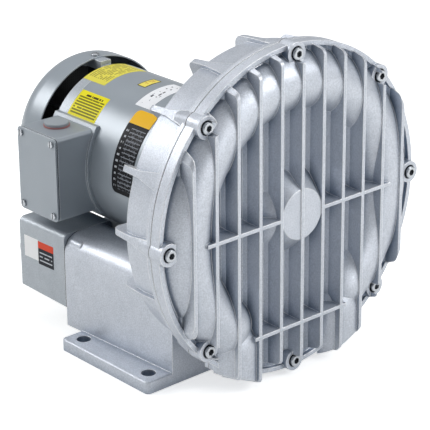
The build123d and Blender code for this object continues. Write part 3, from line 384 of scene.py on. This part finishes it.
def metal(name, body, roughness, marks_mm, depth_mm):
    material, tree, surface, place = new_material(name)
    normal = add(tree, "ShaderNodeBevel", {"samples": 4}, Radius=0.35 * MM).outputs["Normal"]
    marks, bumped = texture(tree, place, size_mm=marks_mm, detail=2, strength=0.3, depth_mm=depth_mm,
                            Normal=normal)
    gloss = add(tree, "ShaderNodeMapRange", Value=marks, To_Min=roughness - SMOOTHER,
                To_Max=roughness + ROUGHER)
    # Painted shade: near a corner the colour goes down to a darker copy of the body colour.
    corner_shade_colour = [channel * CORNER_SHADE_DARKNESS for channel in linear(body)[:3]] + [1.0]
    corner_shaded = add(tree, "ShaderNodeMix", {"data_type": "RGBA"},
                   Factor=painted_corner_shade(tree, METAL_SHADE_REACH_MM, deep=0.3, clear=0.85), _6=linear(body), _7=corner_shade_colour)
    tree.links.new(corner_shaded.outputs[2], surface.inputs["Base Color"])
    tree.links.new(gloss.outputs["Result"], surface.inputs["Roughness"])
    tree.links.new(bumped, surface.inputs["Normal"])
    surface.inputs["Metallic"].default_value = 1.0
    print("metal", name)
    return material


# Plating is smooth and bright, so each screw head catches one sharp glint.
dress(metal("zinc_plated_steel", "#BDC1C6", 0.24, marks_mm=0.8, depth_mm=0.02),
      "cover_screws", "cover_lock_washers", "end_cap_screws", "impeller_bolt", "impeller_washer",
      "through_bolts", "motor_face_bolts", "fan_cover_screws", "junction_box_screws")
# Grinding leaves fine marks and a nearly mirror-like shine.
dress(metal("ground_steel", "#B4B6BA", 0.22, marks_mm=0.5, depth_mm=0.01),
      "rotor_shaft", "impeller_key", "drive_bearing_inner_race", "drive_bearing_outer_race",
      "drive_bearing_balls", "tail_bearing_inner_race", "tail_bearing_outer_race", "tail_bearing_balls")
# An unpainted casting is dull and even, with its grain open.
dress(metal("bare_aluminium_casting", "#B9BABB", 0.5, marks_mm=1.2, depth_mm=0.1), "impeller")
# The edges of half-millimetre sheets in a pack: dark, with a fine roughness.
dress(metal("stacked_electrical_steel", "#6E7175", 0.5, marks_mm=0.5, depth_mm=0.05),
      "stator_core", "rotor_core")
# Wire under varnish: warm and uneven at the scale of one wire.
dress(metal("varnished_copper_wire", "#B5682F", 0.35, marks_mm=1.0, depth_mm=0.15), "stator_windings")
# Pressed from sheet, so smooth and yellow.
dress(metal("pressed_brass", "#C9A04A", 0.32, marks_mm=0.8, depth_mm=0.02),
      "drive_bearing_cage", "tail_bearing_cage")

# %% [markdown]
# ## Rubber, plastic, foam and gasket sheet
# These are dielectrics: no metallic part, a rough surface and an even colour broken by a moulding texture.
# Foam has cells of about 2 mm, which need a deep bump; the others have only the faint skin of their mould
# or press.


# %% Moulded and cut soft goods
def moulded(name, body, shade, roughness, grain_mm, depth_mm):
    material, tree, surface, place = new_material(name)
    normal = add(tree, "ShaderNodeBevel", {"samples": 4}, Radius=0.4 * MM).outputs["Normal"]
    grain, bumped = texture(tree, place, size_mm=grain_mm, detail=3, strength=0.5, depth_mm=depth_mm,
                            Normal=normal)
    tone = add(tree, "ShaderNodeMix", {"data_type": "RGBA"}, Factor=grain, _6=linear(shade), _7=linear(body))
    tree.links.new(tone.outputs[2], surface.inputs["Base Color"])
    tree.links.new(bumped, surface.inputs["Normal"])
    surface.inputs["Roughness"].default_value = roughness
    print("moulded", name)
    return material


# Matt black that swallows light.
dress(moulded("black_nitrile_rubber", "#1E1F20", "#141516", 0.6, grain_mm=1.0, depth_mm=0.05), "shaft_seal")
# A dusty red line under the plug.
dress(moulded("red_fibre_washer", "#B98482", "#A06E6C", 0.7, grain_mm=0.8, depth_mm=0.05), "plug_seal")
# A dark seam between two pale parts.
dress(moulded("compressed_gasket_sheet", "#3C4247", "#2E3338", 0.8, grain_mm=0.8, depth_mm=0.05),
      "cover_gasket", "end_cap_gasket", "junction_box_gasket")
# Cells that make the ports go dark and rough inside.
dress(moulded("open_cell_foam", "#3A3B3D", "#131314", 0.95, grain_mm=2.0, depth_mm=0.8),
      "inlet_foam", "outlet_foam")
# A dark plastic with a soft sheen.
dress(moulded("black_nylon_fan", "#26272A", "#1B1C1F", 0.5, grain_mm=1.2, depth_mm=0.05), "cooling_fan")
# Coloured through to match the enamel, but without its coat.
dress(moulded("grey_nylon_plug", "#A4ABB0", "#949BA1", 0.5, grain_mm=1.0, depth_mm=0.05), "conduit_plug")

# %% [markdown]
# ## Stickers and the data plate
# Everything stuck on the motor starts as a flat sheet with its corners rounded by a bevel on the corner
# points, is cut into narrow strips, and is then wrapped round the shell, just as the real ones are. A patch
# could be cut out of a copy of the shell instead, but its corners would follow the shell's triangles. A
# Solidify modifier gives the film its thickness, which is twice what it stands proud, so its glue side is
# just under the skin of the shell and no gap shows.

# %% Flat sheets and wrapping
WRAP_STRIPS = 24
CORNER_SEGMENTS = 4


def rounded_sheet(length, width, corner_mm, strips):
    """A flat sheet about the origin, its length along x, cut across into strips so that it can bend."""
    bm = bmesh.new()
    bmesh.ops.create_grid(bm, x_segments=1, y_segments=1, size=0.5)
    bmesh.ops.scale(bm, vec=(length, width, 1), verts=bm.verts)
    bmesh.ops.bevel(bm, geom=bm.verts[:], affect="VERTICES", offset=corner_mm * MM, segments=CORNER_SEGMENTS,
                    profile=0.5, material=-1)
    for step in range(1, strips):
        cut = length * (step / strips - 0.5)
        bmesh.ops.bisect_plane(bm, geom=bm.verts[:] + bm.edges[:] + bm.faces[:], plane_co=(cut, 0, 0),
                               plane_no=(1, 0, 0))
    return bm


def stick_on(name, bm, material, proud_mm):
    """Makes the sheet a piece of the fixed frame, with its thickness towards what it is stuck on."""
    mesh = bpy.data.meshes.new(name)
    bm.to_mesh(mesh)
    bm.free()
    mesh.materials.append(material)
    piece = bpy.data.objects.new(name, mesh)
    bpy.context.collection.objects.link(piece)
    film = piece.modifiers.new("film", "SOLIDIFY")
    film.thickness, film.offset = 2 * proud_mm * MM, -1
    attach(piece, "frame")
    print("stuck on", name, len(mesh.vertices), "points")
    return piece


def wrapped(name, y_mm, degrees, corner_mm, proud_mm, material):
    """A sheet between two distances along the shaft and two angles round it, standing proud of the shell."""
    first, last = radians(degrees[0]), radians(degrees[1])
    radius = shell_radius + proud_mm * MM
    bm = rounded_sheet((last - first) * radius, (y_mm[1] - y_mm[0]) * MM, corner_mm, WRAP_STRIPS)
    for point in bm.verts:
        angle = (first + last) / 2 - point.co.x / radius
        along = (y_mm[0] + y_mm[1]) / 2 * MM + point.co.y
        point.co = (radius * cos(angle), along, shaft_height + radius * sin(angle))
    return stick_on(name, bm, material, proud_mm)


# %% [markdown]
# ## Print on the film
# A print could be a picture on a UV map. Here nodes draw it, which stays sharp however near one looks, in
# millimetres along the shaft and in degrees round it, so it follows the bend. A block of ink is where both
# distances lie within its limits. Filled-in lines are rows of short marks of uneven length: a row number
# feeds a noise, and the noise is cut to ink or no ink. They stand for entries without being any. The real
# print is finer than a pixel, so rows and marks are drawn about as coarse as shows.


# %% Where a point of the print lies
def round_shell(tree, place):
    """Millimetres along the shaft and degrees round it, 90 straight up and 180 towards -X."""
    split = add(tree, "ShaderNodeSeparateXYZ", Vector=place)
    along = add(tree, "ShaderNodeMath", {"operation": "MULTIPLY"}, _0=split.outputs["Y"], _1=1 / MM)
    height = add(tree, "ShaderNodeMath", {"operation": "SUBTRACT"}, _0=split.outputs["Z"], _1=shaft_height)
    away = add(tree, "ShaderNodeMath", {"operation": "MULTIPLY"}, _0=split.outputs["X"], _1=-1.0)
    turn = add(tree, "ShaderNodeMath", {"operation": "ARCTAN2"}, _0=away.outputs[0], _1=height.outputs[0])
    around = add(tree, "ShaderNodeMath", {"operation": "MULTIPLY_ADD"}, _0=turn.outputs[0], _1=180 / pi,
                 _2=90.0)
    return along.outputs[0], around.outputs[0]


# %% Blocks and rows of ink
ROW_SHIFT = 7.3  # marks between one row's stretch of the noise and the next row's


def block(tree, across, across_span, down, down_span):
    """1 where both coordinates lie within their spans."""
    inside = []
    for value, (low, high) in ((across, across_span), (down, down_span)):
        inside.append(add(tree, "ShaderNodeMath", {"operation": "COMPARE"}, _0=value, _1=(low + high) / 2,
                          _2=(high - low) / 2).outputs[0])
    return add(tree, "ShaderNodeMath", {"operation": "MULTIPLY"}, _0=inside[0], _1=inside[1]).outputs[0]


def rows_of_marks(tree, area, across, down, pitch, height, mark, fill):
    """Rows of marks within an area. Pitch and height go down the rows, mark is a usual length across."""
    row = add(tree, "ShaderNodeMath", {"operation": "DIVIDE"}, _0=down, _1=pitch).outputs[0]
    number = add(tree, "ShaderNodeMath", {"operation": "FLOOR"}, _0=row).outputs[0]
    within = add(tree, "ShaderNodeMath", {"operation": "FRACT"}, _0=row).outputs[0]
    line = add(tree, "ShaderNodeMath", {"operation": "COMPARE"}, _0=within, _1=0.5, _2=height / pitch / 2)
    shift = add(tree, "ShaderNodeMath", {"operation": "MULTIPLY"}, _0=number, _1=mark * ROW_SHIFT)
    spot = add(tree, "ShaderNodeCombineXYZ", X=across, Y=shift.outputs[0])
    noise = add(tree, "ShaderNodeTexNoise", Vector=spot.outputs[0], Scale=1 / mark, Detail=1.0)
    inked = add(tree, "ShaderNodeMath", {"operation": "LESS_THAN"}, _0=noise.outputs["Fac"], _1=fill)
    marks = add(tree, "ShaderNodeMath", {"operation": "MULTIPLY"}, _0=line.outputs[0], _1=inked.outputs[0])
    return add(tree, "ShaderNodeMath", {"operation": "MULTIPLY"}, _0=marks.outputs[0], _1=area).outputs[0]


# %% [markdown]
# ## The film itself
# Printed vinyl and printed foil have a weak shine under the ink, less than paint, so their colour stays
# full even in the highlight of the shell. The ground is a little duller in patches, from handling and oil.

# %% Film and ink
WORN_SHARE = 0.92
WEAR_MM = 9


def film_material(name, roughness):
    material, tree, surface, place = new_material(name)
    surface.inputs["Roughness"].default_value = roughness
    surface.inputs["IOR"].default_value = 1.5
    surface.inputs["Specular IOR Level"].default_value = 0.12
    return material, tree, surface, place


def press(tree, surface, place, ground, inks):
    """Dulls the ground in patches, lays the inks over it, last on top, and adds an orange peel."""
    wear = add(tree, "ShaderNodeTexNoise", Vector=place, Scale=1 / (WEAR_MM * MM), Detail=3,
               Roughness=NOISE_ROUGHNESS)
    dulled = [channel * WORN_SHARE for channel in linear(ground)[:3]] + [1.0]
    colour = add(tree, "ShaderNodeMix", {"data_type": "RGBA"}, Factor=wear.outputs["Fac"], _6=linear(ground),
                 _7=dulled).outputs[2]
    for area, ink in inks:
        colour = add(tree, "ShaderNodeMix", {"data_type": "RGBA"}, Factor=area, _6=colour,
                     _7=linear(ink)).outputs[2]
    _, peeled = texture(tree, place, size_mm=1.6, detail=2, strength=0.2, depth_mm=0.02)
    tree.links.new(colour, surface.inputs["Base Color"])
    tree.links.new(peeled, surface.inputs["Normal"])


# %% [markdown]
# ## Three yellow stickers and a white one
# All are thin vinyl, 0.15 mm proud. Beside the junction box sits a bright ruled one with a darker head
# line. On top of the shell are a paler one near the fan cover and a small one with a dark border, and near
# the drum lies a white one with a few loose entries. Rows run along the shaft or round it, as each was
# stuck on.

# %% Ruled yellow sticker
STICKER_PROUD_MM = 0.15
# Saturated lemon yellow, cut up by olive rules.
material, tree, surface, place = film_material("yellow_vinyl_film_ruled", 0.4)
along, around = round_shell(tree, place)
head = block(tree, along, (108, 137), around, (125.2, 127.4))
body = block(tree, along, (104, 146), around, (128.2, 143.8))
press(tree, surface, place, "#F7EA2A", [
    (rows_of_marks(tree, head, along, around, pitch=2.2, height=1.7, mark=2.4, fill=0.56), "#4A3C14"),
    (rows_of_marks(tree, body, along, around, pitch=2.24, height=1.3, mark=6.0, fill=0.68), "#7E7A10"),
])
wrapped("ruled_yellow_sticker", (101.5, 148.5), (123, 145.3), corner_mm=0.8, proud_mm=STICKER_PROUD_MM,
        material=material)

# %% Pale yellow sticker
# Faded yellow with weak print, so that it reads as one pale field.
material, tree, surface, place = film_material("pale_yellow_vinyl_film", 0.45)
along, around = round_shell(tree, place)
text = block(tree, along, (131, 161), around, (76, 109))
press(tree, surface, place, "#E9DE5C", [
    (rows_of_marks(tree, text, around, along, pitch=3.6, height=2.0, mark=3.4, fill=0.56), "#A99E48"),
])
wrapped("pale_yellow_sticker", (127, 164), (72, 113.5), corner_mm=0.8, proud_mm=STICKER_PROUD_MM,
        material=material)

# %% Small bordered sticker
# A dark rim round a warm yellow panel.
material, tree, surface, place = film_material("small_yellow_vinyl_film", 0.45)
along, around = round_shell(tree, place)
panel = block(tree, along, (80.4, 91.2), around, (85.4, 100.2))
lines = block(tree, along, (82.5, 89.5), around, (87, 95.5))
press(tree, surface, place, "#6F6B45", [
    (panel, "#F2E06A"),
    (rows_of_marks(tree, lines, around, along, pitch=3.2, height=1.6, mark=2.6, fill=0.5), "#D09A4A"),
])
wrapped("small_yellow_sticker", (79, 92.6), (84.5, 101), corner_mm=1.4, proud_mm=STICKER_PROUD_MM,
        material=material)

# %% White sticker
# The brightest thing on the shell, with a few small dark specks.
material, tree, surface, place = film_material("white_vinyl_film", 0.4)
along, around = round_shell(tree, place)
small = block(tree, along, (44, 62), around, (96, 116))
bold = block(tree, along, (46, 58), around, (84, 108))
press(tree, surface, place, "#FBFCFF", [
    (rows_of_marks(tree, small, around, along, pitch=5.6, height=0.9, mark=6.0, fill=0.46), "#7D828C"),
    (rows_of_marks(tree, bold, around, along, pitch=6.0, height=2.0, mark=3.2, fill=0.42), "#26282E"),
])
wrapped("white_sticker", (41, 65), (81, 119.5), corner_mm=0.8, proud_mm=STICKER_PROUD_MM,
        material=material)

# %% [markdown]
# ## Data plate
# The plate is printed aluminium foil, thicker than the stickers and with well rounded corners: an amber
# band over a black field with a column of heads and a ruled table. The frame has a plain square-cornered
# sheet in its place, which this piece replaces.

# %% Data plate
# Deep black with fine grey rules, topped by one strong amber patch.
material, tree, surface, place = film_material("black_printed_aluminium_foil", 0.42)
along, around = round_shell(tree, place)
band = block(tree, along, (0, 100), around, (120, 134.4))
heads = block(tree, along, (47.2, 51.0), around, (137, 184))
table = block(tree, along, (22, 44.5), around, (137.5, 184))
press(tree, surface, place, "#15161A", [
    (rows_of_marks(tree, table, along, around, pitch=3.1, height=0.55, mark=90.0, fill=0.9), "#8C9097"),
    (rows_of_marks(tree, table, along, around, pitch=1.55, height=0.8, mark=1.7, fill=0.44), "#696D75"),
    (rows_of_marks(tree, heads, along, around, pitch=4.6, height=1.5, mark=1.6, fill=0.56), "#B4B7BD"),
    (band, "#F8C132"),
])
plate = wrapped("data_plate_foil", (20.8, 54.0), (122.2, 187.4), corner_mm=6.0, proud_mm=0.5,
        material=material)
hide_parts("data_plate")

# %% [markdown]
# ## Sticker on the end cap
# The outer wall of the end cap leans out towards the rear, so this sheet is sheared by the same slope
# before it is put against the wall. Its rear half is bare white, and the other has a red head over a dark
# block.

# %% Places on the end cap's wall
WALL_LEAN = 0.0395  # outwards for each unit towards the rear
WALL_REAR_Y = 174.5 * MM  # where the wall is furthest out
wall_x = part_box("end_cap")[0][0]


def against_wall(name, y_mm, z_mm, material):
    """A flat sheet standing against the end cap's outer wall on the -X side."""
    bm = rounded_sheet((y_mm[1] - y_mm[0]) * MM, (z_mm[1] - z_mm[0]) * MM, corner_mm=0.6, strips=2)
    for point in bm.verts:
        along = (y_mm[0] + y_mm[1]) / 2 * MM - point.co.x
        wall = wall_x + WALL_LEAN * (WALL_REAR_Y - along)
        point.co = (wall - STICKER_PROUD_MM * MM, along, (z_mm[0] + z_mm[1]) / 2 * MM + point.co.y)
    return stick_on(name, bm, material, STICKER_PROUD_MM)


def wall_place(tree, place):
    """Millimetres along the shaft and up from the floor."""
    scaled = add(tree, "ShaderNodeVectorMath", {"operation": "SCALE"}, _0=place, _3=1 / MM)
    split = add(tree, "ShaderNodeSeparateXYZ", Vector=scaled.outputs["Vector"])
    return split.outputs["Y"], split.outputs["Z"]


# %% White half
# Plain white film, a little duller in patches.
material, tree, surface, place = film_material("white_polyester_film", 0.4)
press(tree, surface, place, "#FFFFFF", [])
against_wall("end_cap_white_sticker", (143.3, 167.0), (74, 99), material)

# %% Red and dark half
# A red head over near black, with pale rows.
material, tree, surface, place = film_material("red_and_black_polyester_film", 0.4)
along, height = wall_place(tree, place)
head = block(tree, along, (110, 150), height, (90.0, 100))
lines = block(tree, along, (119.5, 141), height, (73.5, 88))
press(tree, surface, place, "#2A2D33", [
    (head, "#E2523A"),
    (rows_of_marks(tree, lines, along, height, pitch=4.6, height=1.5, mark=6.0, fill=0.6), "#C9CCD2"),
])
against_wall("end_cap_dark_sticker", (117.0, 143.1), (71, 98), material)

# %% [markdown]
# ## Black screen behind the grille, as painted shade
# A black disc backs the slots of the fan cover, drawn as a fine wire cloth of the kind that keeps lint off a
# fan. It is painted shade: it makes the gap between shell and fan cover dark when one looks through it. The
# wires are 0.8 mm apart, too fine to show from here and tens of thousands of faces if each were modelled, so
# the cloth is a solid disc and a wave in two directions stands for the weave, drawn at 3 mm.

# %% Black screen as painted shade
SCREEN_MARGIN = 24 * MM  # between the edge of the screen and the cover's outer edge
SCREEN_DEPTH = 2.6 * MM  # from the cover's end face
SCREEN_THICKNESS = 0.5 * MM
cover_high = Vector(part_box("fan_cover")[1])
screen_mesh = bpy.data.meshes.new("painted_shade_screen")
bm = bmesh.new()
bmesh.ops.create_circle(bm, cap_ends=True, segments=72, radius=cover_high.z - shaft_height - SCREEN_MARGIN)
turned = Matrix.Translation((0, cover_high.y - SCREEN_DEPTH, shaft_height)) @ Matrix.Rotation(pi / 2, 4, "X")
bmesh.ops.transform(bm, matrix=turned, verts=bm.verts)
bm.to_mesh(screen_mesh)
bm.free()
screen = bpy.data.objects.new("painted_shade_screen", screen_mesh)
bpy.context.collection.objects.link(screen)
cloth = screen.modifiers.new("cloth", "SOLIDIFY")
cloth.thickness, cloth.offset = SCREEN_THICKNESS, 0
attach(screen, "frame")
print("dust screen", round(screen.dimensions.x / MM), "mm across")

# %% Wire cloth
WEAVE_MM = 3
WAVE_LENGTH = 0.314  # of a wave texture whose scale is 1
# Near black painted shade, with a weave that only just breaks it up.
material, tree, surface, place = new_material("black_wire_cloth_painted_shade")
warp, weft = (add(tree, "ShaderNodeTexWave", {"bands_direction": direction}, Vector=place,
                  Scale=WAVE_LENGTH / (WEAVE_MM * MM)) for direction in "XZ")
weave = add(tree, "ShaderNodeMath", {"operation": "MAXIMUM"}, _0=warp.outputs["Fac"], _1=weft.outputs["Fac"])
tone = add(tree, "ShaderNodeMix", {"data_type": "RGBA"}, Factor=weave.outputs[0], _6=linear("#050506"),
           _7=linear("#1C1D20"))
bump = add(tree, "ShaderNodeBump", Strength=0.6, Distance=0.4 * MM, Height=weave.outputs[0])
tree.links.new(tone.outputs[2], surface.inputs["Base Color"])
tree.links.new(bump.outputs["Normal"], surface.inputs["Normal"])
surface.inputs["Roughness"].default_value = 0.6
screen_mesh.materials.append(material)
print("wire cloth drawn at", WEAVE_MM, "mm")
